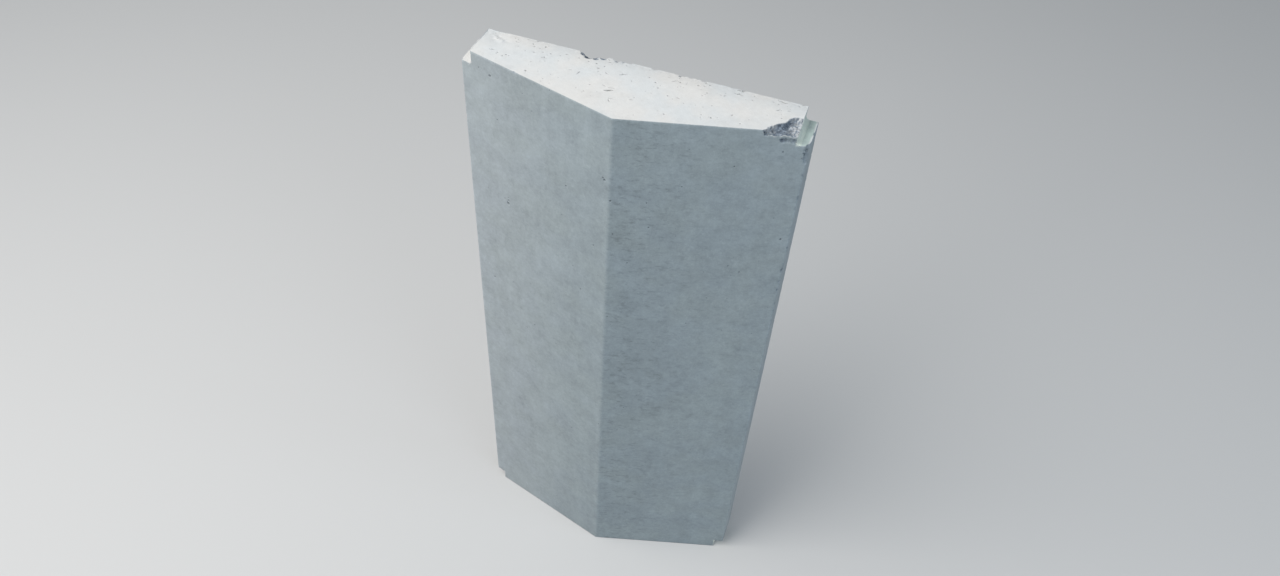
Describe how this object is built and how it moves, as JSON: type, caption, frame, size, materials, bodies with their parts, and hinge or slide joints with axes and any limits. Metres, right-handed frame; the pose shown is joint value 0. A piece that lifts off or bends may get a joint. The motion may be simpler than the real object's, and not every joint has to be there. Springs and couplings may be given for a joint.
{
  "type": "precast concrete wall coping",
  "caption": "Precast concrete wall coping with weathered slopes meeting at a central ridge, a flat bed and coved notches at its ends, standing on end.",
  "frame": {"origin": "on the floor under the middle of the coping's box, in the plane of the lower end face", "axes": "+Z along the length, up; +X across the width; +Y out of the flat bed, so the ridge faces -Y"},
  "size_m": [0.35, 0.0898, 0.75],
  "materials": {
    "concrete": "cast against a smooth mould, matt, with small air holes"
  },
  "bodies": {
    "root": {"coping": "concrete"}
  },
  "joints": []
}
